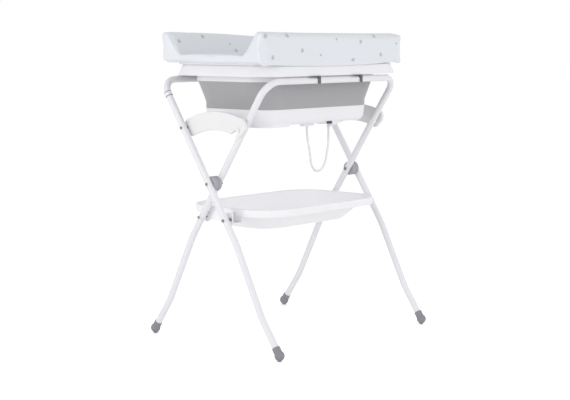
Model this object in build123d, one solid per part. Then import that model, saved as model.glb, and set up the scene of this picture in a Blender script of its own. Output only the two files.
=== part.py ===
from build123d import *
import math
import os

os.makedirs("parts", exist_ok=True)

# Folding frame of white painted steel tube. The outer frame has its feet at the front.
tube_diameter = 22.0
tube_wall = 1.4
leg_spacing = 754.0
leg_gap = 22.0
bar_height = 858.5
bar_reach = 209.3
pivot_height = 531.0
upper_bend_height = 344.0
lower_bend_height = 125.0
lower_bend_reach = 225.0
foot_reach = 298.0
top_corner_radius = 58.0
leg_bend_radius = 280.0

# Plug joint between a top bar and its legs
joint_straight = 9.0
neck_length = 32.0
neck_shoulder = 7.0
neck_wall = 1.2

# Clearances and small common sizes
running_clearance = 0.05
seat_gap = 0.3
overrun = 10.0
rivet_diameter = 5.0

# Soft grey feet, a ball with a collar round the tube
foot_ball_diameter = 32.0
foot_ball_height = 18.0
foot_collar_diameter = 26.0
foot_collar_length = 28.5
foot_tube_setback = 8.0
foot_pad_diameter = 11.0
foot_pad_top_diameter = 19.0
foot_pad_height = 6.5
foot_edge_radius = 2.0

# Pivot of the two frames, with a saddle half on each leg
pivot_bolt_diameter = 6.0
saddle_diameter = 48.0
saddle_grip = 4.0
saddle_edge_radius = 2.5
bolt_head_diameter = 9.0
bolt_head_height = 3.5
nut_width = 10.0
nut_height = 4.6

# Arched side braces, pinned to the outer legs and hooked on studs of the inner legs
brace_rise = 175.0
brace_thickness = 12.0
brace_edge_radius = 2.5
brace_corner_radius = 8.0
stud_diameter = 10.0
stud_head_diameter = 14.0
stud_head_height = 2.5
hook_clearance = 0.4
hook_mouth_clearance = 3.0
hook_exit_clearance = 6.0

# Shelf, a deep moulded tray below the pivot
shelf_end_lap = 0.4
shelf_width = 384.0
shelf_corner_radius = 122.0
shelf_drop = 82.0
shelf_skirt_drop = 24.0
shelf_wall = 3.0
shelf_deck_width = 16.0
shelf_end_slope = 90.0
shelf_side_slope = 85.0
shelf_floor_radius = 80.0
shelf_depth = 73.0
shelf_pin_drop = 34.0
shelf_hook_drop = 29.0
shelf_flange_thickness = 10.0
shelf_flange_drop = 9.0
shelf_flange_depth = 35.0
shelf_flange_front = 96.0
shelf_lug_width = 50.0
shelf_hood_wall = 4.0
shelf_hood_clearance = 0.4
shelf_stud_reach = 16.0

# Bath tub: rim, folding wall and base
rim_length = 724.0
rim_width = 440.0
rim_corner_radius = 98.0
rim_top_length = 690.0
rim_top_width = 424.0
rim_height = 35.0
rim_shift = 14.0
rim_wall = 3.0
rim_edge_radius = 5.0
rim_foot_width = 16.0
basin_shift = 4.0
mouth_length = 614.0
mouth_width = 338.0
mouth_corner_radius = 88.0
collar_depth = 53.0
wall_thickness = 2.4
wall_grip = 7.0
wall_height = 96.0
wall_crease_rise = 20.0
base_length = 552.0
base_width = 304.0
base_corner_radius = 70.0
base_wall = 3.0
base_draft = 4.0
base_side_height = 38.0
base_floor_drop = 10.0
base_bottom_inset = 8.0
base_lip_drop = 4.0
base_foot_drop = 10.0
base_foot_length = 129.0
base_lip_inset = 6.0

# Clips that hold the tub on the two bars
clip_thickness = 3.2
clip_width = 12.0
clip_spacing = 218.0
clip_centre = 15.0
clip_arm_length = 42.0
clip_drop = 22.0
rear_hook_spacing = 560.0
rear_hook_width = 24.0
rear_hook_drop = 12.0

# Drain outlet, plug and hose below the base
drain_end_distance = 168.0
drain_side_distance = 40.0
drain_hole_diameter = 26.0
outlet_length = 88.0
outlet_width = 44.0
outlet_corner_radius = 7.0
outlet_depth = 10.0
outlet_wall = 3.0
funnel_margin = 7.0
nozzle_offset = 24.0
nozzle_drop = 23.0
nozzle_diameter = 13.0
nozzle_bore = 6.0
plug_end_distance = 17.0
plug_stem_diameter = 5.0
plug_stem_length = 12.0
plug_head_length = 26.0
plug_head_height = 9.0
plug_head_thickness = 4.0
plug_edge_radius = 1.2
hose_diameter = 8.0
hose_bore = 6.0
hose_clip_offset = 137.0
hose_clip_drop = 14.0
hose_clip_length = 56.0
hose_clip_depth = 16.0
hose_clip_edge_radius = 3.0

# Changing pad: foam with a raised wall on three sides, on a board
pad_length = 721.0
pad_width = 440.0
pad_height = 96.0
pad_shift = -5.5
pad_board_thickness = 5.7
pad_board_inset = 22.0
pad_board_radius = 60.0
pad_rib_drop = 11.0
pad_rib_thickness = 4.0
pad_rib_gap = 6.0
pad_floor_thickness = 25.0
pad_wall_top = 30.0
pad_wall_base = 80.0
pad_corner_radius = 14.0
pad_edge_radius = 13.0
pad_inner_edge_radius = 7.0
pad_crown = 5.0

# Places worked out from the driving sizes
outer_x = leg_spacing / 2
inner_x = outer_x - tube_diameter - leg_gap
tube_radius = tube_diameter / 2
upper_slope = bar_reach / (bar_height - pivot_height)
joint_height = bar_height - (top_corner_radius + joint_straight) / math.hypot(1, upper_slope)
upper_bend_reach = upper_slope * (pivot_height - upper_bend_height)
brace_height = pivot_height + brace_rise
brace_reach = upper_slope * (brace_height - pivot_height)
shelf_top_height = pivot_height - shelf_drop
shelf_floor_height = shelf_top_height - shelf_depth
shelf_pin_height = shelf_top_height - shelf_pin_drop
shelf_hook_height = shelf_top_height - shelf_hook_drop
shelf_flange_top = shelf_top_height - shelf_flange_drop
shelf_flange_bottom = shelf_flange_top - shelf_flange_depth
shelf_lug_back = shelf_flange_front - shelf_lug_width
shelf_pin_reach = upper_slope * (pivot_height - shelf_pin_height)
shelf_hook_reach = upper_slope * (pivot_height - shelf_hook_height)
saddle_split = (outer_x + inner_x) / 2
outer_face = outer_x + tube_radius
inner_face = inner_x - tube_radius
outer_leg_inside = outer_x - tube_radius
inner_leg_outside = inner_x + tube_radius
shelf_flange_face = inner_face - shelf_hood_clearance
shelf_length = 2 * (shelf_flange_face - shelf_flange_thickness + shelf_end_lap)
shelf_floor_length = shelf_length - 2 * shelf_end_slope
shelf_floor_width = shelf_width - 2 * shelf_side_slope
pin_hole = pivot_bolt_diameter + 2 * running_clearance
rim_bottom_height = bar_height + tube_radius + seat_gap + clip_thickness
rim_top_height = rim_bottom_height + rim_height
collar_bottom_height = rim_top_height - collar_depth
wall_top_height = collar_bottom_height + wall_grip
base_top_height = wall_top_height - wall_height
wall_crease_height = base_top_height + wall_crease_rise
base_edge_height = base_top_height - base_side_height
base_bottom_height = base_edge_height - base_floor_drop
base_foot_end = basin_shift - base_length / 2 + base_foot_length
drain_x = basin_shift + base_length / 2 - drain_end_distance
drain_y = drain_side_distance - base_width / 2
nozzle_x = drain_x - nozzle_offset
nozzle_height = base_bottom_height - nozzle_drop
outlet_x = drain_x + outlet_width / 2 - outlet_length / 2
plug_x = outlet_x - outlet_length / 2 + plug_end_distance
plug_height = base_bottom_height - outlet_depth / 2
hose_clip_x = drain_x - hose_clip_offset
hose_clip_height = base_bottom_height - hose_clip_drop
pad_bottom_height = rim_top_height + seat_gap + pad_board_thickness
centre_low = (Align.CENTER, Align.CENTER, Align.MIN)

# Route of the drain hose, from the outlet nozzle round to the hose clip, as x and z
hose_route = [
    (nozzle_x, nozzle_height),
    (nozzle_x, 664.0),
    (86.0, 632.0),
    (79.0, 602.0),
    (69.0, 575.0),
    (55.0, 556.0),
    (33.0, 549.0),
    (11.0, 556.0),
    (-3.0, 575.0),
    (-7.0, 602.0),
    (-15.0, 636.0),
    (hose_clip_x, 670.0),
    (hose_clip_x, hose_clip_height),
]
hose_arc_share = 0.45

# Outline of a brace as shares of the distance between its pin and its hook stud
brace_tail_shares = [(0.089, -0.121), (-0.062, 0.01), (0.054, 0.147)]
brace_top_shares = [(0.054, 0.147), (0.553, 0.25), (1.013, 0.183)]
brace_nose_shares = [(1.013, 0.183), (1.129, 0.08), (1.085, -0.03)]
brace_arch_shares = [(0.991, -0.116), (0.513, -0.018), (0.089, -0.121)]

# Path of the hook stud out of the brace, as shares of the same distance
hook_path_shares = [(0.929, -0.049), (0.83, -0.12)]

# Path of the shelf stud out of its lug, as shares of the drop to the lug's lower face
lug_path_shares = [(0.62, -1.0), (1.05, -1.8)]

# Hood of the shelf round the inner leg, as shares of its height above the pin
hood_outline_shares = [
    (0.0, -0.3), (0.5, -0.17), (0.6, 0.3), (0.28, 0.8), (-0.2, 1.0),
    (-0.75, 0.9), (-1.0, 0.65), (-0.5, -0.17),
]
hood_web_shares = [(0.57, 0.03), (0.53, 0.38), (0.3, 0.78), (-0.13, 0.98)]
hood_height = 59.0


def rod(side, near, far, y, z, diameter):
    """A round bar across the width, from one distance off the middle to another."""
    low = min(side * near, side * far)
    bar = Cylinder(diameter / 2, abs(far - near), align=centre_low)
    return Pos(low, y, z) * Rot(0, 90, 0) * bar


def bent_bar(points, radii, diameter):
    """A solid round bar along straight runs joined by arcs."""
    path = FilletPolyline(*points, radius=radii)
    start = Plane(origin=path @ 0, z_dir=path % 0)
    return sweep(start * Circle(diameter / 2), path=path)


def straight_bar(start, end, diameter):
    direction = Vector(*end) - Vector(*start)
    bar = Cylinder(diameter / 2, direction.length, align=centre_low)
    return Plane(origin=start, z_dir=direction) * bar


def slab(length, width, radius, bottom, top, x_shift=0):
    """A flat plate with rounded corners."""
    outline = Pos(x_shift, 0, bottom) * RectangleRounded(length, width, radius)
    return extrude(outline, top - bottom)


def taper(lower, upper, bottom, top, x_shift=0):
    """A body between two rounded rectangles, each given as length, width and radius."""
    low_face = Pos(x_shift, 0, bottom) * RectangleRounded(*lower)
    high_face = Pos(x_shift, 0, top) * RectangleRounded(*upper)
    return loft([low_face, high_face], ruled=True)


def inset(size, margin):
    """A rounded rectangle drawn in by a margin on every side."""
    length, width, radius = size
    return (length - 2 * margin, width - 2 * margin, radius - margin)


def leg_route(x, lean):
    """Corners of a leg from its joint to its foot; lean is 1 where the top is at the back."""
    joint_reach = upper_slope * (joint_height - pivot_height)
    return [
        (x, lean * joint_reach, joint_height),
        (x, -lean * upper_bend_reach, upper_bend_height),
        (x, -lean * lower_bend_reach, lower_bend_height),
        (x, -lean * foot_reach, foot_ball_height),
    ]


def foot_axis(x, lean):
    """Centre of the foot ball and the direction of the tube above it."""
    corners = leg_route(x, lean)
    centre = Vector(*corners[-1])
    upward = (Vector(*corners[-2]) - centre).normalized()
    return centre, upward


def leg_bar(x, lean, diameter):
    corners = leg_route(x, lean)
    centre, upward = foot_axis(x, lean)
    tube_end = centre + upward * foot_tube_setback
    points = corners[:-1] + [tuple(tube_end)]
    return bent_bar(points, [leg_bend_radius, leg_bend_radius], diameter)


def leg(x, lean, cross_holes):
    """One bent leg tube with its cross holes, each given as y, z and diameter."""
    side = math.copysign(1, x)
    body = leg_bar(x, lean, tube_diameter) - leg_bar(x, lean, tube_diameter - 2 * tube_wall)
    for y, z, diameter in cross_holes:
        body -= rod(side, abs(x) - tube_diameter, abs(x) + tube_diameter, y, z, diameter)
    return body


def top_bar(x, lean):
    """The upper tube with its two round corners and the necks that plug into the legs."""
    joint_reach = lean * upper_slope * (joint_height - pivot_height)
    points = [
        (-x, joint_reach, joint_height),
        (-x, lean * bar_reach, bar_height),
        (x, lean * bar_reach, bar_height),
        (x, joint_reach, joint_height),
    ]
    radii = [top_corner_radius, top_corner_radius]
    joints = [Vector(*points[0]), Vector(*points[-1])]
    upward = (Vector(*points[1]) - joints[0]).normalized()
    shoulders = [joint + upward * neck_shoulder for joint in joints]
    bore = tube_diameter - 2 * tube_wall
    hollow = [tuple(shoulders[0]), points[1], points[2], tuple(shoulders[1])]
    body = bent_bar(points, radii, tube_diameter) - bent_bar(hollow, radii, bore)
    neck = bore - 2 * running_clearance
    for joint, shoulder in zip(joints, shoulders):
        tip = joint - upward * neck_length
        body += straight_bar(tuple(tip), tuple(joint), neck)
        body -= straight_bar(tuple(tip), tuple(shoulder), neck - 2 * neck_wall)
    return body


def foot(x, lean):
    """Soft foot: a ball, a collar round the tube end and a small flat below."""
    centre, upward = foot_axis(x, lean)
    collar_end = centre + upward * foot_collar_length
    collar = straight_bar(tuple(centre), tuple(collar_end), foot_collar_diameter)
    rim = collar.edges().filter_by(GeomType.CIRCLE).sort_by(Axis.Z)[-1]
    collar = fillet(rim, foot_edge_radius)
    body = Pos(centre) * Sphere(foot_ball_diameter / 2) + collar
    pad = Cone(foot_pad_diameter / 2, foot_pad_top_diameter / 2, foot_pad_height, align=centre_low)
    body += Pos(centre.X, centre.Y, 0) * pad
    socket_start = centre + upward * foot_tube_setback
    socket_end = centre + upward * (foot_collar_length + overrun)
    socket = tube_diameter + 2 * running_clearance
    return body - straight_bar(tuple(socket_start), tuple(socket_end), socket)


def saddle(side, lean):
    """Half of the pivot spacer, cupped round its leg; lean 1 sits on the outer leg."""
    if lean > 0:
        near = saddle_split + seat_gap / 2
        far = outer_leg_inside + saddle_grip
        leg_x = outer_x
    else:
        near = inner_leg_outside - saddle_grip
        far = saddle_split - seat_gap / 2
        leg_x = inner_x
    disc = rod(side, near, far, 0, pivot_height, saddle_diameter)
    disc = fillet(disc.edges().filter_by(GeomType.CIRCLE), saddle_edge_radius)
    slope = Vector(0, lean * upper_slope, 1) * saddle_diameter
    middle = Vector(side * leg_x, 0, pivot_height)
    groove = tube_diameter + 2 * running_clearance
    disc -= straight_bar(tuple(middle - slope), tuple(middle + slope), groove)
    return disc - rod(side, near - overrun, far + overrun, 0, pivot_height, pin_hole)


def headed_rod(side, tip, head_seat, y, z, diameter):
    """A bolt whose rounded head sits outwards of the head seat."""
    shank = rod(side, tip, head_seat, y, z, diameter)
    head = rod(side, head_seat, head_seat + bolt_head_height, y, z, bolt_head_diameter)
    order = head.edges().filter_by(GeomType.CIRCLE).sort_by(Axis.X)
    rim = order[-1] if side > 0 else order[0]
    return shank + fillet(rim, bolt_head_height / 2)


def nut(side, near, y, z):
    """A six-sided nut from the near distance outwards."""
    low = min(side * near, side * (near + nut_height))
    prism = extrude(RegularPolygon(nut_width / 2, 6, major_radius=False), nut_height)
    body = Pos(low, y, z) * Rot(0, 90, 0) * prism
    return body - rod(side, near - overrun, near + nut_height + overrun, y, z, pin_hole)


def pivot_bolt(side):
    tip = inner_face - seat_gap - nut_height
    return headed_rod(side, tip, outer_face + running_clearance, 0, pivot_height, pivot_bolt_diameter)


def pivot_nut(side):
    return nut(side, inner_face - seat_gap - nut_height, 0, pivot_height)


def brace_bolt(side):
    """Bolt through the outer leg, with a shoulder that spaces the brace off the tube."""
    tip = saddle_split - brace_thickness / 2 - seat_gap - nut_height
    seat = outer_face + running_clearance
    bolt = headed_rod(side, tip, seat, brace_reach, brace_height, pivot_bolt_diameter)
    near = saddle_split + brace_thickness / 2 + seat_gap
    far = outer_leg_inside - running_clearance
    return bolt + rod(side, near, far, brace_reach, brace_height, bolt_head_diameter)


def brace_nut(side):
    near = saddle_split - brace_thickness / 2 - seat_gap - nut_height
    return nut(side, near, brace_reach, brace_height)


def hook_stud(side):
    """Stud on the inner leg that the brace hooks over, riveted through the tube."""
    near = inner_leg_outside + running_clearance
    far = saddle_split + brace_thickness / 2 + seat_gap
    place = (-brace_reach, brace_height)
    body = rod(side, near, far, *place, stud_diameter)
    body += rod(side, far, far + stud_head_height, *place, stud_head_diameter)
    rivet_end = inner_face - running_clearance
    body += rod(side, rivet_end, near, *place, rivet_diameter)
    return body + rod(side, rivet_end - stud_head_height, rivet_end, *place, stud_diameter)


def brace_point(share):
    """A point of the brace plate from shares of the span, measured forwards from its pin."""
    span = 2 * brace_reach
    return (brace_reach - share[0] * span, brace_height + share[1] * span)


def brace(side):
    """Arched plate with a pin hole at the back and an open hook at the front."""
    arcs = [
        ThreePointArc(*[brace_point(share) for share in shares])
        for shares in (brace_tail_shares, brace_top_shares, brace_nose_shares)
    ]
    chin = Line(brace_point(brace_nose_shares[-1]), brace_point(brace_arch_shares[0]))
    arch = ThreePointArc(*[brace_point(share) for share in brace_arch_shares])
    outline = make_face(Curve() + arcs + chin + arch)
    outline = fillet(outline.vertices(), brace_corner_radius)
    low = min(side * (saddle_split - brace_thickness / 2), side * (saddle_split + brace_thickness / 2))
    upright = Plane(origin=(low, 0, 0), x_dir=(0, 1, 0), z_dir=(1, 0, 0))
    plate = extrude(upright * outline, brace_thickness)
    plate = fillet(plate.edges().filter_by(Plane.YZ), brace_edge_radius)
    near = saddle_split - brace_thickness
    far = saddle_split + brace_thickness
    plate -= rod(side, near, far, brace_reach, brace_height, pin_hole)
    seat = (-brace_reach, brace_height)
    path = [brace_point(share) for share in hook_path_shares]
    widths = [
        stud_diameter + 2 * hook_clearance,
        stud_diameter + 2 * hook_mouth_clearance,
        stud_diameter + 2 * hook_exit_clearance,
    ]
    stops = [seat] + path
    for number in range(len(stops) - 1):
        first = Pos(*stops[number]) * Circle(widths[number] / 2)
        second = Pos(*stops[number + 1]) * Circle(widths[number + 1] / 2)
        slot = make_hull((first + second).edges())
        wide = Plane(origin=(low - overrun, 0, 0), x_dir=(0, 1, 0), z_dir=(1, 0, 0))
        plate -= extrude(wide * slot, brace_thickness + 2 * overrun)
    return plate


def shelf_stud(side):
    """Stud on the outer leg that carries the front of the shelf."""
    near = outer_leg_inside - shelf_stud_reach
    far = outer_leg_inside - running_clearance
    place = (-shelf_hook_reach, shelf_hook_height)
    body = rod(side, near, far, *place, stud_diameter)
    body += rod(side, far, outer_face + running_clearance, *place, rivet_diameter)
    head = outer_face + running_clearance
    return body + rod(side, head, head + stud_head_height, *place, stud_diameter)


def shelf_pin(side):
    """Pin through the shelf hood and the inner leg."""
    tip = shelf_flange_face - shelf_flange_thickness - seat_gap - nut_height
    seat = inner_leg_outside + shelf_hood_clearance + shelf_hood_wall + seat_gap
    return headed_rod(side, tip, seat, shelf_pin_reach, shelf_pin_height, pivot_bolt_diameter)


def shelf_pin_nut(side):
    near = shelf_flange_face - shelf_flange_thickness - seat_gap - nut_height
    return nut(side, near, shelf_pin_reach, shelf_pin_height)


def side_prism(side, near, far, outline):
    """An outline in depth and height, given thickness across the width."""
    low = min(side * near, side * far)
    upright = Plane(origin=(low, 0, 0), x_dir=(0, 1, 0), z_dir=(1, 0, 0))
    return extrude(upright * outline, abs(far - near))


def shelf_tray():
    """The tray: a turned-down rim round a deep basin."""
    size = (shelf_length, shelf_width, shelf_corner_radius)
    skirt_bottom = shelf_top_height - shelf_skirt_drop
    body = slab(*size, skirt_bottom, shelf_top_height)
    body -= slab(*inset(size, shelf_wall), skirt_bottom - overrun, shelf_top_height - shelf_wall)
    mouth = inset(size, shelf_deck_width)
    floor = (shelf_floor_length, shelf_floor_width, shelf_floor_radius)
    basin = taper(floor, mouth, shelf_floor_height, shelf_top_height)
    hollow_floor = inset(floor, shelf_wall)
    hollow_mouth = inset(mouth, shelf_wall)
    hollow = taper(hollow_floor, hollow_mouth, shelf_floor_height + shelf_wall, shelf_top_height)
    return body + basin - hollow


def shelf_end(side):
    """End flange with the front lug and the hood round the inner leg."""
    flange_far = shelf_flange_face
    flange_near = flange_far - shelf_flange_thickness
    size = hood_height
    pin = (shelf_pin_reach, shelf_pin_height)
    flange_depth = shelf_flange_front + pin[0]
    flange_middle = (pin[0] - shelf_flange_front) / 2
    flange_rise = shelf_flange_top - shelf_flange_bottom
    flange_level = (shelf_flange_top + shelf_flange_bottom) / 2
    flat = Pos(flange_middle, flange_level) * Rectangle(flange_depth, flange_rise)
    body = side_prism(side, flange_near, flange_far, flat)
    lug_depth = shelf_flange_front - shelf_lug_back
    lug_middle = -(shelf_flange_front + shelf_lug_back) / 2
    lug_flat = Pos(lug_middle, flange_level) * Rectangle(lug_depth, flange_rise)
    body += side_prism(side, flange_near, outer_leg_inside - shelf_hood_clearance, lug_flat)
    hood_line = [(pin[0] + size * a, pin[1] + size * b) for a, b in hood_outline_shares]
    hood_flat = make_face(Polyline(*hood_line, close=True))
    body += side_prism(side, flange_near, flange_far, hood_flat)
    hood_near = inner_leg_outside + shelf_hood_clearance
    hood_far = hood_near + shelf_hood_wall
    body += side_prism(side, hood_near, hood_far, hood_flat)
    outer_line = [(pin[0] + size * a, pin[1] + size * b) for a, b in hood_web_shares]
    web = trace(Polyline(*outer_line), line_width=shelf_hood_wall)
    body += side_prism(side, flange_near, hood_far, web)
    body -= rod(side, flange_near - overrun, hood_far + overrun, *pin, pin_hole)
    seat = (-shelf_hook_reach, shelf_hook_height)
    drop = shelf_hook_height - shelf_flange_bottom
    stops = [seat] + [(seat[0] + drop * a, seat[1] + drop * b) for a, b in lug_path_shares]
    widths = [
        stud_diameter + 2 * hook_clearance,
        stud_diameter + 2 * hook_mouth_clearance,
        stud_diameter + 2 * hook_exit_clearance,
    ]
    notch_near = outer_leg_inside - shelf_stud_reach - shelf_hood_clearance
    for number in range(len(stops) - 1):
        first = Pos(*stops[number]) * Circle(widths[number] / 2)
        second = Pos(*stops[number + 1]) * Circle(widths[number + 1] / 2)
        slot = make_hull((first + second).edges())
        body -= side_prism(side, notch_near, outer_leg_inside + overrun, slot)
    return body


def shelf():
    return shelf_tray() + shelf_end(-1) + shelf_end(1)


def tub_rim():
    """Rim with a flared skirt, a turned-in foot and the collar that grips the folding wall."""
    low = (rim_length, rim_width, rim_corner_radius)
    flare = (rim_length - rim_top_length) / 2
    high = (rim_top_length, rim_top_width, rim_corner_radius - flare / 2)
    body = taper(low, high, rim_bottom_height, rim_top_height, rim_shift)
    top_rim = body.edges().group_by(Axis.Z)[-1]
    body = fillet(top_rim, rim_edge_radius)
    hollow_top = rim_top_height - rim_wall
    body -= taper(inset(low, rim_foot_width), inset(high, rim_foot_width),
                  rim_bottom_height - overrun, hollow_top, rim_shift)
    body -= taper(inset(low, rim_wall), inset(high, rim_wall),
                  rim_bottom_height + rim_wall, hollow_top, rim_shift)
    mouth = (mouth_length, mouth_width, mouth_corner_radius)
    collar = inset(mouth, -rim_wall)
    body += slab(*collar, collar_bottom_height, hollow_top, basin_shift)
    return body - slab(*mouth, collar_bottom_height - overrun, rim_top_height + overrun, basin_shift)


def tub_wall():
    """Soft folding wall between the rim's collar and the base."""
    mouth = inset((mouth_length, mouth_width, mouth_corner_radius), running_clearance)
    foot_size = (base_length, base_width, base_corner_radius)

    def shell(margin, low_end, high_end):
        body = slab(*inset(foot_size, margin), low_end, wall_crease_height, basin_shift)
        body += taper(inset(foot_size, margin), inset(mouth, margin),
                      wall_crease_height, collar_bottom_height, basin_shift)
        return body + slab(*inset(mouth, margin), collar_bottom_height, high_end, basin_shift)

    low_end = base_top_height + seat_gap
    outside = shell(0, low_end, wall_top_height)
    return outside - shell(wall_thickness, low_end - overrun, wall_top_height + overrun)


def tub_base():
    """Rigid base tray, with a lip below and a deeper foot at one end."""
    top_size = (base_length, base_width, base_corner_radius)
    edge_size = inset(top_size, base_draft)
    bottom_size = inset(edge_size, base_bottom_inset)
    body = taper(edge_size, top_size, base_edge_height, base_top_height, basin_shift)
    body += taper(bottom_size, edge_size, base_bottom_height, base_edge_height, basin_shift)
    body -= taper(inset(edge_size, base_wall), inset(top_size, base_wall),
                  base_edge_height, base_top_height, basin_shift)
    body -= taper(inset(bottom_size, base_wall), inset(edge_size, base_wall),
                  base_bottom_height + base_wall, base_edge_height, basin_shift)
    lip_size = inset(bottom_size, base_lip_inset)
    lip_hollow = inset(lip_size, base_wall)
    lip_low = base_bottom_height - base_lip_drop
    body += slab(*lip_size, lip_low, base_bottom_height, basin_shift) - slab(
        *lip_hollow, lip_low, base_bottom_height, basin_shift)
    foot_low = base_bottom_height - base_foot_drop
    foot_ring = slab(*bottom_size, foot_low, base_bottom_height, basin_shift) - slab(
        *inset(bottom_size, base_wall), foot_low, base_bottom_height, basin_shift)
    keep = Pos(base_foot_end - base_length / 2, 0, foot_low) * Box(
        base_length, base_width, base_foot_drop, align=centre_low)
    body += foot_ring & keep
    window = Pos(outlet_x, drain_y, base_bottom_height) * Box(
        outlet_length + 2 * base_wall, base_width / 2, 2 * base_lip_drop,
        align=(Align.CENTER, Align.CENTER, Align.MAX))
    body -= window
    hole = Pos(drain_x, drain_y, base_bottom_height - overrun)
    return body - hole * Cylinder(drain_hole_diameter / 2, 2 * overrun, align=centre_low)


def drain_outlet():
    """Outlet block under the drain hole, with a funnel down to the hose nozzle and a way to the plug."""
    outlet_low = base_bottom_height - outlet_depth
    body = slab(outlet_length, outlet_width, outlet_corner_radius, outlet_low, base_bottom_height, outlet_x)
    body = Pos(0, drain_y, 0) * body
    well_radius = outlet_width / 2 - outlet_wall
    body += loft([
        Pos(nozzle_x, drain_y, nozzle_height) * Circle(nozzle_diameter / 2),
        Pos(drain_x, drain_y, outlet_low) * Circle(well_radius),
    ], ruled=True)
    well = Pos(drain_x, drain_y, outlet_low + outlet_wall)
    body -= well * Cylinder(well_radius, outlet_depth, align=centre_low)
    body -= loft([
        Pos(nozzle_x, drain_y, nozzle_height - running_clearance) * Circle(nozzle_bore / 2),
        Pos(drain_x, drain_y, outlet_low + outlet_wall) * Circle(outlet_width / 2 - funnel_margin),
    ], ruled=True)
    bore = plug_stem_diameter / 2 + running_clearance
    body -= Pos(plug_x, drain_y, plug_height) * Rot(90, 0, 0) * Cylinder(
        bore, outlet_width / 2 + overrun, align=centre_low)
    return body - rod(1, plug_x, drain_x, drain_y, plug_height, 2 * bore)


def drain_plug():
    """Push-in plug with a flat oblong head."""
    seat = drain_y - outlet_width / 2 - seat_gap
    outward = Plane(origin=(plug_x, seat, plug_height), x_dir=(1, 0, 0), z_dir=(0, -1, 0))
    head = extrude(outward * SlotOverall(plug_head_length, plug_head_height), plug_head_thickness)
    head = fillet(head.faces().sort_by(Axis.Y)[0].edges(), plug_edge_radius)
    stem = Pos(plug_x, seat, plug_height) * Rot(-90, 0, 0) * Cylinder(
        plug_stem_diameter / 2, plug_stem_length, align=centre_low)
    return head + stem


def turn_radii(points):
    """Largest arc for each corner: a share of its shorter run over the half turn's tangent."""
    radii = []
    for number in range(1, len(points) - 1):
        before = Vector(*points[number]) - Vector(*points[number - 1])
        after = Vector(*points[number + 1]) - Vector(*points[number])
        half_turn = math.radians(before.get_angle(after)) / 2
        shorter = min(before.length, after.length)
        radii.append(hose_arc_share * shorter / math.tan(half_turn))
    return radii


def drain_hose():
    """Limp drain hose that hangs in a loop between the nozzle and its clip."""
    points = [(x, drain_y, z) for x, z in hose_route]
    radii = turn_radii(points)
    print("hose radii", [round(radius) for radius in radii])
    path = FilletPolyline(*points, radius=radii)
    print("hose length", round(path.length))
    start = Plane(origin=path @ 0, z_dir=path % 0)
    tube = sweep(start * Circle(hose_diameter / 2), path=path)
    bore = sweep(start * Circle(hose_bore / 2), path=path)
    section = math.pi * (hose_diameter ** 2 - hose_bore ** 2) / 4
    hose = tube - bore
    print("hose volume ratio", round(hose.volume / (section * path.length), 4))
    return hose


def hose_clip():
    """Small block under the base that holds the hose's free end."""
    rise = base_bottom_height - hose_clip_height
    block = Pos(hose_clip_x, drain_y, hose_clip_height) * Box(
        hose_clip_length, hose_clip_depth, rise, align=centre_low)
    block = fillet(block.edges().filter_by(Axis.Y).group_by(Axis.Z)[0], hose_clip_edge_radius)
    socket = Cylinder(hose_bore / 2, rise / 2, align=centre_low)
    return block - Pos(hose_clip_x, drain_y, hose_clip_height) * socket


def front_clip(x):
    """Grey clip over the front bar, with a wedge arm under the rim."""
    bar_top = bar_height + tube_radius + seat_gap
    front = -bar_reach - tube_radius - seat_gap
    cover = Pos(x, front - clip_thickness, bar_top) * Box(
        clip_width, clip_thickness + tube_diameter, clip_thickness,
        align=(Align.CENTER, Align.MIN, Align.MIN))
    leg_plate = Pos(x, front - clip_thickness, bar_top) * Box(
        clip_width, clip_thickness, clip_drop, align=(Align.CENTER, Align.MIN, Align.MAX))
    arm_outline = Polyline(
        (x - clip_width / 2, bar_top), (x - clip_width / 2, rim_bottom_height),
        (x - clip_width / 2 - clip_arm_length, rim_bottom_height), close=True)
    upright = Plane(origin=(0, front + tube_diameter, 0), x_dir=(1, 0, 0), z_dir=(0, -1, 0))
    arm = extrude(upright * make_face(arm_outline), clip_thickness + tube_diameter)
    return cover + leg_plate + arm


def rear_hook(x):
    """White hook moulded to drop over the back bar."""
    bar_top = bar_height + tube_radius + seat_gap
    back = bar_reach + tube_radius + seat_gap
    cover = Pos(x, back + clip_thickness, bar_top) * Box(
        rear_hook_width, clip_thickness + tube_diameter, clip_thickness,
        align=(Align.CENTER, Align.MAX, Align.MIN))
    tongue = Pos(x, back + clip_thickness, bar_top) * Box(
        rear_hook_width, clip_thickness, rear_hook_drop, align=(Align.CENTER, Align.MAX, Align.MAX))
    return cover + tongue


def pad_board():
    """Board under the pad, with a rib frame that drops into the tub's mouth."""
    low = rim_top_height + seat_gap
    size = (pad_length - 2 * pad_board_inset, pad_width - 2 * pad_board_inset, pad_board_radius)
    body = slab(*size, low, pad_bottom_height, pad_shift)
    mouth = (mouth_length, mouth_width, mouth_corner_radius)
    rib = inset(mouth, pad_rib_gap)
    ring = slab(*rib, low - pad_rib_drop, low, basin_shift) - slab(
        *inset(rib, pad_rib_thickness), low - pad_rib_drop, low, basin_shift)
    return body + ring


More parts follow.
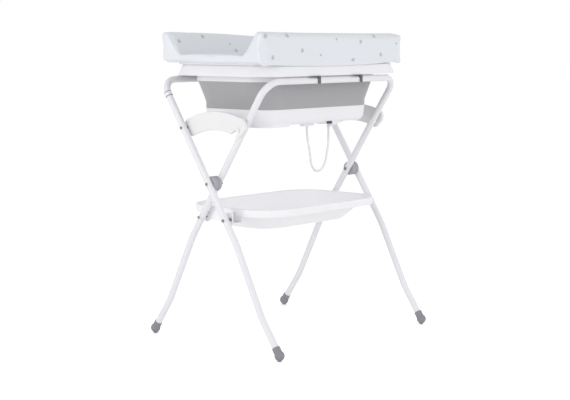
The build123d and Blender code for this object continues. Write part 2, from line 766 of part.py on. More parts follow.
def changing_pad():
    """Foam pad with walls on both long sides and one end, and a low open end."""
    top = pad_bottom_height + pad_height
    floor = pad_bottom_height + pad_floor_thickness
    body = slab(pad_length, pad_width, pad_corner_radius, pad_bottom_height, top, pad_shift)
    body = fillet(body.edges().group_by(Axis.Z)[-1], pad_edge_radius)
    closed_end = pad_shift + pad_length / 2
    open_end = pad_shift - pad_length / 2 - overrun
    low_length = closed_end - pad_wall_base - open_end
    high_length = closed_end - pad_wall_top - open_end
    low_width = pad_width - 2 * pad_wall_base
    high_width = pad_width - 2 * pad_wall_top
    low_face = Pos(open_end + low_length / 2, 0, floor) * Rectangle(low_length, low_width)
    high_face = Pos(open_end + high_length / 2, 0, top) * Rectangle(high_length, high_width)
    body -= loft([low_face, high_face], ruled=True)
    level_edges = body.edges().group_by(Axis.Z)[-1]
    long_edges = level_edges.filter_by(Axis.X).sort_by(lambda edge: abs(edge.center().Y))[:2]
    end_edge = level_edges.filter_by(Axis.Y).sort_by(Axis.X)[0]
    body = fillet([*long_edges, end_edge], pad_inner_edge_radius)
    crown_span = low_width / 2
    crown = ThreePointArc((-crown_span, floor), (0, floor + pad_crown), (crown_span, floor))
    chord = Line((crown_span, floor), (-crown_span, floor))
    across = Plane(origin=(pad_shift - pad_length / 2, 0, 0), x_dir=(0, 1, 0), z_dir=(1, 0, 0))
    return body + extrude(across * make_face(crown + chord), pad_length - pad_wall_base)


def both(make):
    """The left and right copies of a fastener, kept as two solids."""
    return Compound(children=[make(-1), make(1)])


outer_holes = [
    (0, pivot_height, pin_hole),
    (brace_reach, brace_height, pin_hole),
    (-shelf_hook_reach, shelf_hook_height, rivet_diameter + 2 * running_clearance),
]
inner_holes = [
    (0, pivot_height, pin_hole),
    (-brace_reach, brace_height, rivet_diameter + 2 * running_clearance),
    (shelf_pin_reach, shelf_pin_height, pin_hole),
]

pieces = {
    "outer_top_bar": top_bar(outer_x, 1),
    "inner_top_bar": top_bar(inner_x, -1),
    "pivot_bolts": both(pivot_bolt),
    "pivot_nuts": both(pivot_nut),
    "brace_bolts": both(brace_bolt),
    "brace_nuts": both(brace_nut),
    "brace_hook_studs": both(hook_stud),
    "shelf_hook_studs": both(shelf_stud),
    "shelf_pins": both(shelf_pin),
    "shelf_pin_nuts": both(shelf_pin_nut),
    "shelf": shelf(),
    "tub_rim": tub_rim(),
    "tub_wall": tub_wall(),
    "tub_base": tub_base(),
    "drain_outlet": drain_outlet(),
    "drain_plug": drain_plug(),
    "drain_hose": drain_hose(),
    "hose_clip": hose_clip(),
    "pad_board": pad_board(),
    "changing_pad": changing_pad(),
}
for name, side in (("left", -1), ("right", 1)):
    pieces["outer_" + name + "_leg"] = leg(side * outer_x, 1, outer_holes)
    pieces["inner_" + name + "_leg"] = leg(side * inner_x, -1, inner_holes)
    pieces["front_" + name + "_foot"] = foot(side * outer_x, 1)
    pieces["rear_" + name + "_foot"] = foot(side * inner_x, -1)
    pieces["outer_" + name + "_pivot_saddle"] = saddle(side, 1)
    pieces["inner_" + name + "_pivot_saddle"] = saddle(side, -1)
    pieces[name + "_brace"] = brace(side)
    pieces[name + "_bar_clip"] = front_clip(clip_centre + side * clip_spacing / 2)
    pieces[name + "_rear_hook"] = rear_hook(side * rear_hook_spacing / 2)

for name, piece in pieces.items():
    export_step(piece, "parts/" + name + ".step")
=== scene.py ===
import math

import bmesh
import bpy
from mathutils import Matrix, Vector
from mathutils.bvhtree import BVHTree


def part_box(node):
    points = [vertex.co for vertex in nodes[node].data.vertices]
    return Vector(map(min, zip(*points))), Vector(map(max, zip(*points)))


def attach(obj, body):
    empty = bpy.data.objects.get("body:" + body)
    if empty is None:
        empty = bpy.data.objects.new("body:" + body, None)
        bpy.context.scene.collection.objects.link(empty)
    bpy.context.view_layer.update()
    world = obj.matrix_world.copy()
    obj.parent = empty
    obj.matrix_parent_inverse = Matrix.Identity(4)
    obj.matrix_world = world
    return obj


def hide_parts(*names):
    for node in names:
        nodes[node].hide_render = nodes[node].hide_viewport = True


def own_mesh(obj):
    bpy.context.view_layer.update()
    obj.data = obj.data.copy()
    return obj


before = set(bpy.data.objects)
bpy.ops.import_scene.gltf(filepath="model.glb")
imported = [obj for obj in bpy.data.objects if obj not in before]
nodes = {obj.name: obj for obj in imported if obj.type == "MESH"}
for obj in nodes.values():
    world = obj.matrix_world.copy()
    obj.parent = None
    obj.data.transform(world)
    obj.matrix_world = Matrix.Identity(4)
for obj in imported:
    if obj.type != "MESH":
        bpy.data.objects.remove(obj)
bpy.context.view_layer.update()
scene = bpy.context.scene

# Camera and studio
# The camera stands at the photograph's place. The stage is a pale floor that runs out of sight
# below an even white surround, with a broad soft lamp on the left, two weaker ones in front, a
# faint one on the right and one that faces down into the shelf.
camera_place = (-3.5532, -3.0688, 0.9984)
camera_turn = 49.129
camera_dip = 6.704
camera_lens = 87.9
floor_size = 80.0

camera_data = bpy.data.cameras.new("camera")
camera_data.lens = camera_lens
camera = bpy.data.objects.new("camera", camera_data)
camera.location = camera_place
camera.rotation_euler = (math.radians(90 - camera_dip), 0, -math.radians(camera_turn))
scene.collection.objects.link(camera)
scene.camera = camera
scene.view_settings.view_transform = "Standard"

surround_light = 0.72
floor_glow = 0.09
floor_lift_seen = 0.26
world = bpy.data.worlds.new("studio")
world.use_nodes = True
surround = world.node_tree.nodes["Background"]
surround.inputs["Color"].default_value = (0.97, 0.98, 1.0, 1)
surround.inputs["Strength"].default_value = surround_light
backdrop = world.node_tree.nodes.new("ShaderNodeBackground")
backdrop.inputs["Color"].default_value = (1, 1, 1, 1)
seen = world.node_tree.nodes.new("ShaderNodeLightPath").outputs["Is Camera Ray"]
choice = world.node_tree.nodes.new("ShaderNodeMixShader")
world.node_tree.links.new(seen, choice.inputs["Fac"])
world.node_tree.links.new(surround.outputs["Background"], choice.inputs[1])
world.node_tree.links.new(backdrop.outputs["Background"], choice.inputs[2])
world.node_tree.links.new(choice.outputs["Shader"], world.node_tree.nodes["World Output"].inputs["Surface"])
scene.world = world


def lamp(name, place, aim, size, power):
    """A square soft lamp that faces a point."""
    data = bpy.data.lights.new(name, "AREA")
    data.size = size
    data.energy = power
    piece = bpy.data.objects.new(name, data)
    piece.location = place
    piece.rotation_euler = (Vector(aim) - Vector(place)).to_track_quat("-Z", "Y").to_euler()
    piece.visible_camera = False
    scene.collection.objects.link(piece)


lamp("left_lamp", (-3.4, 0.5, 1.3), (0, 0, 0.7), 2.0, 33.6)
lamp("high_front_lamp", (0.4, -3.2, 2.4), (0, 0, 0.6), 2.4, 16.7)
lamp("low_front_lamp", (0.6, -3.4, 1.0), (0, 0, 0.75), 2.0, 15.4)
lamp("right_lamp", (3.2, 0.8, 1.2), (0, 0, 0.7), 2.0, 5.0)
lamp("shelf_lamp", (0, -0.02, 0.66), (0, -0.02, 0.4), 0.45, 0.13)


def link(name, mesh):
    """A new object that shows a mesh."""
    piece = bpy.data.objects.new(name, mesh)
    scene.collection.objects.link(piece)
    return piece


def finished_mesh(name, form):
    """Turns a finished bmesh into a mesh."""
    mesh = bpy.data.meshes.new(name)
    form.to_mesh(mesh)
    form.free()
    return mesh


floor_form = bmesh.new()
bmesh.ops.create_grid(floor_form, x_segments=2, y_segments=2, size=floor_size / 2)
floor = link("floor", finished_mesh("floor", floor_form))
floor_paint = bpy.data.materials.new("pale_floor")
floor_paint.use_nodes = True
floor_shader = floor_paint.node_tree.nodes["Principled BSDF"]
floor_shader.inputs["Base Color"].default_value = (0.95, 0.95, 0.95, 1)
floor_shader.inputs["Roughness"].default_value = 0.35
floor_shader.inputs["Emission Color"].default_value = (1, 1, 1, 1)
floor_shader.inputs["Emission Strength"].default_value = floor_glow
floor_lift = floor_paint.node_tree.nodes.new("ShaderNodeEmission")
floor_seen = floor_paint.node_tree.nodes.new("ShaderNodeLightPath").outputs["Is Camera Ray"]
lift_share = floor_paint.node_tree.nodes.new("ShaderNodeMath")
lift_share.operation = "MULTIPLY"
lift_share.inputs[1].default_value = floor_lift_seen
floor_sum = floor_paint.node_tree.nodes.new("ShaderNodeAddShader")
floor_paint.node_tree.links.new(floor_seen, lift_share.inputs[0])
floor_paint.node_tree.links.new(lift_share.outputs["Value"], floor_lift.inputs["Strength"])
floor_paint.node_tree.links.new(floor_shader.outputs["BSDF"], floor_sum.inputs[0])
floor_paint.node_tree.links.new(floor_lift.outputs["Emission"], floor_sum.inputs[1])
floor_paint.node_tree.links.new(
    floor_sum.outputs["Shader"], floor_paint.node_tree.nodes["Material Output"].inputs["Surface"])
floor.data.materials.append(floor_paint)


# Drain hose
# A limp clear vinyl tube, 8 mm across. It is pushed on the outlet's nozzle under the tub, hangs
# in one loop and ends in the small clip block beside the outlet.
class Finish:
    """A material and the handles that its textures need."""

    def __init__(self, name, colour, roughness):
        self.material = bpy.data.materials.new(name)
        self.material.use_nodes = True
        self.tree = self.material.node_tree
        self.shader = self.tree.nodes["Principled BSDF"]
        self.shader.inputs["Base Color"].default_value = (*colour, 1)
        self.shader.inputs["Roughness"].default_value = roughness
        self.place = self.tree.nodes.new("ShaderNodeTexCoord").outputs["Object"]
        self.colour = colour

    def set(self, name, value):
        """Sets one of the shader's own sockets."""
        self.shader.inputs[name].default_value = value

    def mottle(self, scale, detail=3.0):
        """A cloudy pattern, from 0 to 1."""
        cloud = self.tree.nodes.new("ShaderNodeTexNoise")
        cloud.inputs["Scale"].default_value = scale
        cloud.inputs["Detail"].default_value = detail
        self.tree.links.new(self.place, cloud.inputs["Vector"])
        return cloud.outputs["Fac"]

    def spread(self, pattern, low, high):
        """Maps a pattern to a range of values."""
        ramp = self.tree.nodes.new("ShaderNodeMapRange")
        ramp.inputs["From Min"].default_value = 0.3
        ramp.inputs["From Max"].default_value = 0.7
        ramp.inputs["To Min"].default_value = low
        ramp.inputs["To Max"].default_value = high
        self.tree.links.new(pattern, ramp.inputs["Value"])
        return ramp.outputs["Result"]

    def tint(self, pattern, other):
        """Lets the colour drift between its own tone and another one."""
        mix = self.tree.nodes.new("ShaderNodeMix")
        mix.data_type = "RGBA"
        mix.inputs["A"].default_value = (*self.colour, 1)
        mix.inputs["B"].default_value = (*other, 1)
        self.tree.links.new(pattern, mix.inputs["Factor"])
        self.tree.links.new(mix.outputs["Result"], self.shader.inputs["Base Color"])

    def gloss(self, pattern, low, high):
        """Lets the roughness drift between two values."""
        self.tree.links.new(self.spread(pattern, low, high), self.shader.inputs["Roughness"])

    def relief(self, pattern, height, under=None):
        """Bump of a real height in metres, on top of an earlier one."""
        bump = self.tree.nodes.new("ShaderNodeBump")
        bump.inputs["Distance"].default_value = height
        self.tree.links.new(pattern, bump.inputs["Height"])
        if under:
            self.tree.links.new(under, bump.inputs["Normal"])
        self.tree.links.new(bump.outputs["Normal"], self.shader.inputs["Normal"])
        return bump.outputs["Normal"]


hose_points = [
    (0.088, 0.695), (0.088, 0.664), (0.086, 0.632), (0.079, 0.602), (0.069, 0.575),
    (0.055, 0.556), (0.033, 0.549), (0.011, 0.556), (-0.003, 0.575), (-0.007, 0.602),
    (-0.015, 0.636), (-0.025, 0.670), (-0.025, 0.704),
]
hose_depth = -0.112
hose_radius = 0.004

hose_curve = bpy.data.curves.new("drain_tube", "CURVE")
hose_curve.dimensions = "3D"
hose_curve.bevel_depth = hose_radius
hose_curve.bevel_resolution = 5
hose_curve.resolution_u = 10
hose_curve.use_fill_caps = True
hose_line = hose_curve.splines.new("NURBS")
hose_line.points.add(len(hose_points) - 1)
for point, (x, z) in zip(hose_line.points, hose_points):
    point.co = (x, hose_depth, z, 1)
hose_line.order_u = 3
hose_line.use_endpoint_u = True
hose = bpy.data.objects.new("drain_tube", hose_curve)
scene.collection.objects.link(hose)

clear_vinyl = Finish("clear_vinyl", (0.80, 0.805, 0.78), 0.3)
clear_vinyl.tint(clear_vinyl.mottle(60), (0.76, 0.765, 0.735))
clear_vinyl.gloss(clear_vinyl.mottle(220), 0.26, 0.38)
clear_vinyl.relief(clear_vinyl.mottle(500), 0.00002)
clear_vinyl.set("Subsurface Weight", 0.35)
clear_vinyl.set("Subsurface Radius", (0.004, 0.004, 0.003))
clear_vinyl.set("Coat Weight", 0.3)
hose_curve.materials.append(clear_vinyl.material)
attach(hose, "tub_floor")
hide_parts("drain_hose")


# Frame tubes
# Round steel tube, bent and sprayed with glossy white powder paint, which has a faint orange-peel
# skin and a gloss that drifts a little along the tube.
def dress(name, finish):
    """Gives a piece of the frame its finish."""
    piece = nodes[name]
    piece.data.materials.clear()
    piece.data.materials.append(finish.material)


white_paint = Finish("white_powder_paint", (0.80, 0.795, 0.815), 0.25)
white_paint.tint(white_paint.mottle(9), (0.79, 0.785, 0.805))
white_paint.gloss(white_paint.mottle(35), 0.34, 0.4)
white_paint.relief(white_paint.mottle(700, 1.0), 0.000006)
white_paint.set("Coat Weight", 0.12)
white_paint.set("Coat Roughness", 0.25)
for name in nodes:
    if name.endswith(("_leg", "_top_bar")):
        dress(name, white_paint)

# Joint collars
# A short white nylon sleeve, pressed on the rear bar's tube just above each plug joint, with a thin grey
# ring at each end that is painted shade for the seam between sleeve and tube. The front bar's joints are
# bare.
collar_places = [(-0.377, 0.1797, 0.8122), (0.377, 0.1797, 0.8122)]
collar_lean = (0, 0.5386, 0.8426)
collar_bore = 0.0111
collar_radius = 0.0123
collar_length = 0.012
seam_shade_radius = 0.0125
seam_shade_thickness = 0.0022


def ring(form, profile, place, lean):
    """Spins a closed profile of radius and height into a ring that stands on a leaning line."""
    corners = [form.verts.new((radius, 0, height)) for radius, height in profile]
    edges = [form.edges.new((corners[k - 1], corners[k])) for k in range(len(corners))]
    bmesh.ops.spin(form, geom=corners + edges, axis=(0, 0, 1), cent=(0, 0, 0), dvec=(0, 0, 0),
                   angle=math.tau, steps=32, use_merge=True)
    made = [vertex for vertex in form.verts if not vertex.tag]
    turn = Vector(lean).to_track_quat("Z", "Y").to_matrix()
    bmesh.ops.rotate(form, verts=made, matrix=turn)
    bmesh.ops.translate(form, verts=made, vec=place)
    for vertex in made:
        vertex.tag = True


collar_form = bmesh.new()
seam_shade_form = bmesh.new()
half_collar = collar_length / 2
round_off = collar_radius - collar_bore
collar_shoulder = collar_radius - round_off / 4
collar_side = half_collar - round_off / 2
sleeve = [
    (collar_bore, -half_collar), (collar_shoulder, -half_collar), (collar_radius, -collar_side),
    (collar_radius, collar_side), (collar_shoulder, half_collar), (collar_bore, half_collar),
]
for place in collar_places:
    ring(collar_form, sleeve, place, collar_lean)
    # Each end of the sleeve gets a thin grey ring of painted seam shade.
    for end in (-half_collar - seam_shade_thickness, half_collar):
        seam_shade_profile = [
            (collar_bore, end), (seam_shade_radius, end),
            (seam_shade_radius, end + seam_shade_thickness), (collar_bore, end + seam_shade_thickness),
        ]
        ring(seam_shade_form, seam_shade_profile, place, collar_lean)
for form in (collar_form, seam_shade_form):
    bmesh.ops.remove_doubles(form, verts=form.verts, dist=1e-6)
    bmesh.ops.recalc_face_normals(form, faces=form.faces)
collars = link("joint_collars", finished_mesh("joint_collars", collar_form))
seam_shade_rings = link("joint_seam_shade_rings", finished_mesh("joint_seam_shade_rings", seam_shade_form))
collars.data.materials.append(white_paint.material)
# The grey of these thin rings is painted shade: it stands for the shaded seams at the sleeve's ends.
seam_shade_grey = Finish("painted_seam_shade_grey", (0.30, 0.30, 0.31), 0.5)
seam_shade_grey.tint(seam_shade_grey.mottle(90), (0.34, 0.34, 0.35))
seam_shade_grey.gloss(seam_shade_grey.mottle(400), 0.42, 0.6)
seam_shade_rings.data.materials.append(seam_shade_grey.material)
for piece in (collars, seam_shade_rings):
    piece.data.shade_smooth()
    crease = piece.modifiers.new("crease", "EDGE_SPLIT")
    crease.split_angle = math.radians(40)
    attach(piece, "outer_frame")

# Feet
# Soft grey rubber balls with a collar pushed over each tube end, moulded with a fine matt texture.
foot_rubber = Finish("grey_foot_rubber", (0.235, 0.23, 0.255), 0.5)
foot_rubber.tint(foot_rubber.mottle(45), (0.275, 0.27, 0.295))
foot_rubber.gloss(foot_rubber.mottle(160), 0.38, 0.6)
foot_rubber.relief(foot_rubber.mottle(1500), 0.00004)
for name in nodes:
    if name.endswith("_foot"):
        dress(name, foot_rubber)

# Pivot saddles
# Two grey moulded halves at each crossing of the legs, cupped round the tubes.
saddle_plastic = Finish("grey_saddle_plastic", (0.36, 0.355, 0.39), 0.5)
saddle_plastic.tint(saddle_plastic.mottle(40), (0.40, 0.395, 0.43))
saddle_plastic.gloss(saddle_plastic.mottle(180), 0.36, 0.55)
saddle_plastic.relief(saddle_plastic.mottle(1600), 0.00003)
for name in nodes:
    if name.endswith("_saddle"):
        dress(name, saddle_plastic)

# Bolts, nuts and studs
# Dull zinc-plated steel: what holds the legs together at the pivots, and the braces and the shelf
# on the legs.
dull_steel = Finish("dull_plated_steel", (0.32, 0.32, 0.33), 0.35)
dull_steel.set("Metallic", 1.0)
dull_steel.tint(dull_steel.mottle(300), (0.24, 0.24, 0.25))
dull_steel.gloss(dull_steel.mottle(900), 0.28, 0.5)
dull_steel.relief(dull_steel.mottle(2400), 0.00001)
for name in nodes:
    if name.split("_")[-1] in ("bolts", "nuts", "studs", "pins") and name != "brace_hook_studs":
        dress(name, dull_steel)

# Shelf
# One deep tray of white injection-moulded plastic, satin from a finely textured mould. Each end
# has a low strip with a round eye, pinned to the inner leg, and in front of it an open box whose
# outer plate hooks on the stud in the outer leg.
shelf_edge = 0.0012
weld = 1e-5
flat_turn = math.radians(0.4)
tray_end = 0.3114
strip_near = 0.3024
strip_front = -0.080
strip_low = 0.405
strip_top = 0.426
eye_middle = (0.0741, 0.415)
eye_radius = 0.017
eye_start = -144
eye_end = 139.7
eye_steps = 20
box_near = 0.350
box_far = 0.354
box_back = -0.046
box_top = 0.440
box_wall = 0.004
stud_middle = (-0.0709, 0.420)
seat_radius = 0.0054
seat_start = 200
seat_end = -15
seat_steps = 10
mouth_front = -0.0696
mouth_back = -0.0536


def finish_moulding(piece, node, edge_radius, finish, body):
    """Softened edges and a finish for the piece that stands for a solid."""
    piece.data.materials.clear()
    piece.data.materials.append(finish.material)
    piece.data.shade_smooth()
    soft_edge = piece.modifiers.new("soft_edge", "BEVEL")
    soft_edge.width = edge_radius
    soft_edge.segments = 3
    soft_edge.limit_method = "ANGLE"
    soft_edge.angle_limit = math.radians(35)
    soft_edge.harden_normals = True
    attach(piece, body)
    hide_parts(node)
    return piece


white_moulding = Finish("white_moulding", (0.90, 0.89, 0.905), 0.36)
white_moulding.tint(white_moulding.mottle(7), (0.88, 0.87, 0.885))
white_moulding.gloss(white_moulding.mottle(50), 0.3, 0.44)
white_moulding.relief(white_moulding.mottle(1800), 0.000015)


def arc(middle, radius, start, end, steps):
    """Points of depth and height round a middle, between two angles in degrees."""
    turns = [math.radians(start + (end - start) * step / steps) for step in range(steps + 1)]
    return [(middle[0] + radius * math.cos(a), middle[1] + radius * math.sin(a)) for a in turns]


def plate(form, outline, near, far):
    """An outline in depth and height, given thickness across the width."""
    face = form.faces.new([form.verts.new((near, y, z)) for y, z in outline])
    made = bmesh.ops.extrude_face_region(form, geom=[face])["geom"]
    moved = [part for part in made if isinstance(part, bmesh.types.BMVert)]
    bmesh.ops.translate(form, verts=moved, vec=(far - near, 0, 0))


strip = [
    (strip_front, strip_low),
    *arc(eye_middle, eye_radius, eye_start, eye_end, eye_steps),
    (strip_front, strip_top),
]
hook = [
    (strip_front, strip_low), (mouth_front, strip_low),
    *arc(stud_middle, seat_radius, seat_start, seat_end, seat_steps),
    (mouth_back, strip_low), (box_back, strip_low), (box_back, box_top), (strip_front, box_top),
]
back_web = [
    (box_back - box_wall, strip_low), (box_back, strip_low),
    (box_back, box_top), (box_back - box_wall, box_top),
]
floor_web = [
    (strip_front, strip_low), (box_back, strip_low),
    (box_back, strip_low + box_wall), (strip_front, strip_low + box_wall),
]
shelf_form = bmesh.new()
shelf_form.from_mesh(nodes["shelf"].data)
bmesh.ops.remove_doubles(shelf_form, verts=shelf_form.verts, dist=weld)
# The tray is cut square at both ends and the cuts are closed.
for side in (-1, 1):
    whole = [*shelf_form.verts, *shelf_form.edges, *shelf_form.faces]
    bmesh.ops.bisect_plane(shelf_form, geom=whole, plane_co=(side * tray_end, 0, 0),
                           plane_no=(side, 0, 0), clear_outer=True)
    open_edges = [edge for edge in shelf_form.edges if edge.is_boundary]
    bmesh.ops.triangle_fill(shelf_form, edges=open_edges, use_beauty=True)
bmesh.ops.dissolve_limit(shelf_form, angle_limit=flat_turn, verts=shelf_form.verts, edges=shelf_form.edges)
for side in (-1, 1):
    plate(shelf_form, strip, side * strip_near, side * tray_end)
    plate(shelf_form, hook, side * box_near, side * box_far)
    plate(shelf_form, back_web, side * tray_end, side * box_near)
    plate(shelf_form, floor_web, side * tray_end, side * box_near)
bmesh.ops.recalc_face_normals(shelf_form, faces=shelf_form.faces)
shelf = link("shelf_moulding", finished_mesh("shelf_moulding", shelf_form))
finish_moulding(shelf, "shelf", shelf_edge, white_moulding, "storage_shelf")

# Pin spacers
# A round white nylon spacer under each shelf pin's head, on the inner leg's outer side.
spacer_near = 0.344
spacer_far = 0.3487
spacer_radius = 0.0065
spacer_edge = 0.0006
spacer_sides = 24

spacer_outline = arc(eye_middle, spacer_radius, 0, 360 - 360 / spacer_sides, spacer_sides - 1)
spacer_form = bmesh.new()
for side in (-1, 1):
    plate(spacer_form, spacer_outline, side * spacer_near, side * spacer_far)
bmesh.ops.recalc_face_normals(spacer_form, faces=spacer_form.faces)
spacers = link("pin_spacers", finished_mesh("pin_spacers", spacer_form))
spacers.data.materials.append(white_moulding.material)
spacer_rounding = spacers.modifiers.new("soft_edge", "BEVEL")
spacer_rounding.width = spacer_edge
spacer_rounding.segments = 2
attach(spacers, "inner_frame")

# Braces
# White injection-moulded arched plates, hung on a bolt in each outer leg, with the studs that
# they hook on.
brace_moulding = Finish("white_brace_moulding", (0.82, 0.815, 0.815), 0.38)
brace_moulding.tint(brace_moulding.mottle(9), (0.80, 0.79, 0.785))
brace_moulding.gloss(brace_moulding.mottle(60), 0.32, 0.46)
brace_moulding.relief(brace_moulding.mottle(1800), 0.000015)
for name in ("left_brace", "right_brace", "brace_hook_studs"):
    dress(name, brace_moulding)

# Tub rim, base and small white tub parts
# Glossier white plastic. The rim is a hollow flared frame, the base a tray with an outlet block
# welded under it, and the rear hooks and hose clip are moulded on.
tub_edge = 0.0016


def moulded(name, node, edge_radius, finish, body):
    """A copy of a solid with softened edges, which then stands for it."""
    form = bmesh.new()
    form.from_mesh(nodes[node].data)
    bmesh.ops.remove_doubles(form, verts=form.verts, dist=weld)
    bmesh.ops.dissolve_limit(form, angle_limit=flat_turn, verts=form.verts, edges=form.edges)
    piece = link(name, finished_mesh(name, form))
    return finish_moulding(piece, node, edge_radius, finish, body)


tub_plastic = Finish("white_tub_plastic", (0.85, 0.842, 0.86), 0.3)
tub_plastic.tint(tub_plastic.mottle(6), (0.843, 0.835, 0.853))
tub_plastic.gloss(tub_plastic.mottle(40), 0.38, 0.44)
tub_plastic.relief(tub_plastic.mottle(1500), 0.000004)
rim = moulded("tub_rim_moulding", "tub_rim", tub_edge, tub_plastic, "tub")
base = moulded("tub_base_moulding", "tub_base", tub_edge, tub_plastic, "tub_floor")
for name in ("drain_outlet", "hose_clip", "left_rear_hook", "right_rear_hook"):
    dress(name, tub_plastic)

# Folding wall
# Grey silicone rubber, bonded to the rim's collar and to the base. The real wall folds inwards as
# the base is pushed up; this piece keeps its open shape. It has a soft sheen with a faint bloom.
wall_edge = 0.0012

grey_silicone = Finish("grey_silicone", (0.375, 0.37, 0.375), 0.5)
grey_silicone.tint(grey_silicone.mottle(5), (0.365, 0.36, 0.368))
grey_silicone.gloss(grey_silicone.mottle(30), 0.42, 0.58)
grey_silicone.relief(grey_silicone.mottle(900), 0.00003)
grey_silicone.set("Sheen Weight", 0.25)
grey_silicone.set("Sheen Roughness", 0.5)
wall = moulded("silicone_wall", "tub_wall", wall_edge, grey_silicone, "tub")
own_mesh(wall)

# Bar clips
# Two dark grey nylon clips that snap over the front bar and wedge under the rim.
clip_edge = 0.0006

clip_plastic = Finish("dark_clip_nylon", (0.10, 0.10, 0.11), 0.45)
clip_plastic.tint(clip_plastic.mottle(80), (0.13, 0.13, 0.14))
clip_plastic.gloss(clip_plastic.mottle(400), 0.36, 0.55)
clip_plastic.relief(clip_plastic.mottle(2000), 0.00002)
for side in ("left", "right"):
    clip = moulded(side + "_clip_moulding", side + "_bar_clip", clip_edge, clip_plastic, "tub")

# Drain plug
# Navy push-in plug with a flat oblong head, pulled out of the outlet block by hand.
plug_plastic = Finish("navy_plug_plastic", (0.05, 0.055, 0.13), 0.3)
plug_plastic.tint(plug_plastic.mottle(120), (0.06, 0.07, 0.16))
plug_plastic.gloss(plug_plastic.mottle(500), 0.25, 0.4)
plug_plastic.relief(plug_plastic.mottle(1500), 0.00001)
dress("drain_plug", plug_plastic)

# Pad board
# White hardboard sheet with a rib frame, hidden under the pad.
board_finish = Finish("white_board", (0.80, 0.80, 0.80), 0.55)
board_finish.tint(board_finish.mottle(25), (0.74, 0.74, 0.74))
board_finish.relief(board_finish.mottle(600), 0.00004)
dress("pad_board", board_finish)

# Changing pad
# Block foam with a trough, in a tight welded vinyl cover. The vinyl swells a little between its
# edges, the far wall's top sags, and a sparse print of small grey stars covers it.
pad_voxel = 0.004
pad_draw_in = 0.002
pad_cap = 0.0036
pad_pressure = 4.0
pad_frames = 16
pad_smooth_rounds = 2
full_low = (0.005, 0.003, 0.0)
full_high = (0.006, 0.004, 0.001)
pad_low, pad_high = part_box("changing_pad")


def remeshed(name, mesh, voxel):
    """The mesh again as an even skin of small squares."""
    piece = link(name, mesh)
    skin = piece.modifiers.new("skin", "REMESH")
    skin.mode = "VOXEL"
    skin.voxel_size = voxel
    done = bpy.data.meshes.new_from_object(piece.evaluated_get(bpy.context.evaluated_depsgraph_get()))
    piece.modifiers.clear()
    piece.data = done
    return piece


def swollen(piece, pressure, frames, cap):
    """Blows the skin up a little by cloth simulation, with no point moving past the cap."""
    cloth = piece.modifiers.new("swell", "CLOTH")
    cloth.settings.use_pressure = True
    cloth.settings.uniform_pressure_force = pressure
    cloth.settings.effector_weights.gravity = 0
    cloth.settings.quality = 4
    cloth.settings.tension_stiffness = 25
    cloth.settings.compression_stiffness = 25
    cloth.settings.bending_stiffness = 2
    cloth.collision_settings.use_self_collision = False
    cloth.collision_settings.use_collision = False
    for number in range(1, frames + 1):
        scene.frame_set(number)
    blown = piece.evaluated_get(bpy.context.evaluated_depsgraph_get()).to_mesh()
    for vertex, moved in zip(piece.data.vertices, blown.vertices):
        step = moved.co - vertex.co
        if step.length > cap:
            step = step.normalized() * cap
        vertex.co = vertex.co + step
    piece.modifiers.clear()
    scene.frame_set(1)


pad_form = bmesh.new()
pad_form.from_mesh(nodes["changing_pad"].data)
bmesh.ops.remove_doubles(pad_form, verts=pad_form.verts, dist=weld)
pad = remeshed("padded_top", finished_mesh("padded_top", pad_form), pad_voxel)
pad_form = bmesh.new()
pad_form.from_mesh(pad.data)
for _ in range(pad_smooth_rounds):
    bmesh.ops.smooth_vert(pad_form, verts=pad_form.verts, factor=0.5, use_axis_x=True,
                          use_axis_y=True, use_axis_z=True)
pad_form.normal_update()
for vertex in pad_form.verts:
    vertex.co -= vertex.normal * pad_draw_in
pad.data = finished_mesh("padded_top", pad_form)
swollen(pad, pad_pressure, pad_frames, pad_cap)
for side in range(3):
    places = [vertex.co[side] for vertex in pad.data.vertices]
    least, most = min(places), max(places)
    reach = pad_high[side] + full_high[side] - pad_low[side] + full_low[side]
    for vertex in pad.data.vertices:
        share = (vertex.co[side] - least) / (most - least)
        vertex.co[side] = pad_low[side] - full_low[side] + share * reach


def eased(value, start, end):
    """Rises smoothly from 0 at the start to 1 at the end."""
    share = min(1.0, max(0.0, (value - start) / (end - start)))
    return share * share * (3 - 2 * share)


# The foam has settled: the open end stands higher, the trough's floor and the far wall's middle
# dip, the open end's lower edge is skewed, and the cover's front edge hangs over the rim in a bow.
end_rise = 0.0045
end_fall = -0.0017
dip_depth = 0.0105
dip_place = 0.12
dip_spread = 0.2
dip_reach = (0.02, 0.16)
top_share = (0.25, 0.95)
low_end = 0.55
edge_round = 0.007
front_bow = 0.0116
front_corner_drop = 0.0036
floor_settle = 0.0035
floor_starts = (0.12, 0.2)
floor_stops = (0.36, 0.48)
trough_side = 0.15
trough_end = 0.285
trough_blend = 0.02
open_end_lift = 0.0046
flap_start = 0.2085
flap_full = 0.2135
flap_inside = 0.2143
board_end = 0.346
pad_height = pad_high.z - pad_low.z
for vertex in pad.data.vertices:
    x, y, z = vertex.co
    lift = (z - pad_low.z) / pad_height
    along = (x - pad_low.x) / (pad_high.x - pad_low.x)
    rise = end_rise + (end_fall - end_rise) * along
    dip = dip_depth * math.exp(-((x - dip_place) / dip_spread) ** 2) * eased(y, *dip_reach)
    vertex.co.z += (rise - dip) * eased(lift, *top_share)
    low_share = 1 - eased(lift, 0.0, low_end)
    corner_drop = front_corner_drop * (1 - along)
    hang = corner_drop + (front_bow - corner_drop) * math.sin(math.pi * min(1.0, max(0.0, along)))
    flap = eased(-y, flap_start, flap_full) * low_share
    vertex.co.z -= (hang + edge_round) * flap
    vertex.co.y -= max(0.0, flap_inside + y) * flap
    in_trough = eased(trough_side - abs(y), 0.0, trough_blend) * eased(trough_end - x, 0.0, trough_blend)
    vertex.co.z -= floor_settle * in_trough * eased(lift, *floor_starts) * (1 - eased(lift, *floor_stops))
    skew = open_end_lift * (y / pad_high.y) if y > 0 else 0.0
    vertex.co.z += skew * eased(-x, board_end, -pad_low.x) * low_share
pad.data.shade_smooth()
pad.data.materials.clear()

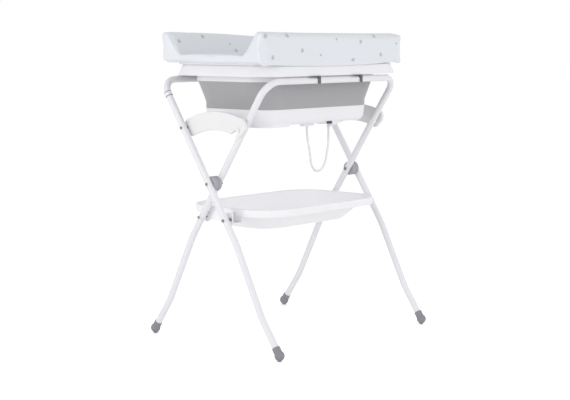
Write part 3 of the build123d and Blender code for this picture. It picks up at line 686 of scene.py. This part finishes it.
pad_vinyl = Finish("pad_vinyl", (0.75, 0.77, 0.80), 0.42)
pad_vinyl.tint(pad_vinyl.mottle(4), (0.738, 0.758, 0.79))
pad_vinyl.gloss(pad_vinyl.mottle(18), 0.36, 0.5)
soft_creases = pad_vinyl.relief(pad_vinyl.mottle(14, 4.0), 0.0008)
grain = pad_vinyl.tree.nodes.new("ShaderNodeTexVoronoi")
grain.inputs["Scale"].default_value = 900
pad_vinyl.tree.links.new(pad_vinyl.place, grain.inputs["Vector"])
pad_vinyl.relief(grain.outputs["Distance"], 0.00003, soft_creases)
pad_vinyl.set("Sheen Weight", 0.1)
pad_vinyl.set("Coat Weight", 0.1)
pad.data.materials.append(pad_vinyl.material)
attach(pad, "pad")
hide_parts("changing_pad")

# Printed stars
# Small grey stars and dots printed on the vinyl, thinly scattered on every face.
star_radius = 0.0095
star_waist = 0.58
dot_radius = 0.0046
dot_every = 3
print_lift = 0.0003
closed_wall = 0.26
outer_depth = 0.4
outer_width = 0.6
outer_height = 1.2
inner_start = 0.1
inner_share = 0.6
front_stars = [
    (-0.3546, 1.0000), (-0.2509, 1.0010), (-0.0092, 0.9895), (0.1185, 0.9811), (0.1984, 1.0005),
    (0.3164, 0.9749), (0.2290, 0.9377), (0.0807, 0.9210), (-0.0898, 0.9392), (-0.1809, 0.9542),
    (-0.3216, 0.9339),
]
far_wall_stars = [
    (-0.337, 0.983), (-0.217, 0.998), (-0.102, 0.973), (-0.088, 0.950), (0.06, 0.985), (0.2, 0.96),
]
back_stars = [
    (-0.3, 0.95), (-0.2, 0.99), (-0.09, 0.93), (0.02, 0.98), (0.13, 0.95), (0.22, 0.99), (0.31, 0.94),
]
end_stars = [(-0.15, 0.97), (-0.05, 0.94), (0.06, 0.985), (0.15, 0.95)]
floor_stars = [
    (-0.3, -0.07), (-0.24, 0.06), (-0.15, -0.02), (-0.08, 0.09), (-0.01, -0.08), (0.07, 0.03),
    (0.15, -0.06), (0.2, 0.08),
]

pad_form = bmesh.new()
pad_form.from_mesh(pad.data)
pad_skin = BVHTree.FromBMesh(pad_form)
pad_form.free()
print_form = bmesh.new()


def print_mark(start, aim, number):
    """One star, or now and then a dot, pressed on the vinyl where a line from the start meets it."""
    place, normal, _, _ = pad_skin.ray_cast(Vector(start), Vector(aim))
    if place is None:
        return
    is_dot = number % dot_every == dot_every - 1
    radius = dot_radius if is_dot else star_radius
    corners = bmesh.ops.create_circle(print_form, cap_ends=True, segments=10, radius=radius)["verts"]
    if not is_dot:
        bmesh.ops.scale(print_form, verts=corners[::2], vec=(star_waist, star_waist, 1))
    turn = normal.to_track_quat("Z", "Y").to_matrix()
    bmesh.ops.rotate(print_form, verts=corners, matrix=turn)
    bmesh.ops.translate(print_form, verts=corners, vec=place + normal * print_lift)


for number, (x, z) in enumerate(front_stars):
    print_mark((x, -outer_depth, z), (0, 1, 0), number)
for number, (x, z) in enumerate(back_stars):
    print_mark((x, outer_depth, z), (0, -1, 0), number)
for number, (x, z) in enumerate(far_wall_stars):
    print_mark((x, 0.0, z), (0, 1, 0), number)
    if -x < closed_wall:
        print_mark((-x, 0.0, z), (0, -1, 0), number + 1)
for number, (y, z) in enumerate(end_stars):
    print_mark((outer_width, y, z), (-1, 0, 0), number)
    print_mark((inner_start, inner_share * y, z), (1, 0, 0), number + 1)
for number, (x, y) in enumerate(floor_stars):
    print_mark((x, y, outer_height), (0, 0, -1), number)
stars = link("printed_stars", finished_mesh("printed_stars", print_form))
star_ink = Finish("grey_star_ink", (0.46, 0.50, 0.50), 0.5)
star_ink.tint(star_ink.mottle(300), (0.53, 0.57, 0.57))
stars.data.materials.append(star_ink.material)
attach(stars, "pad")
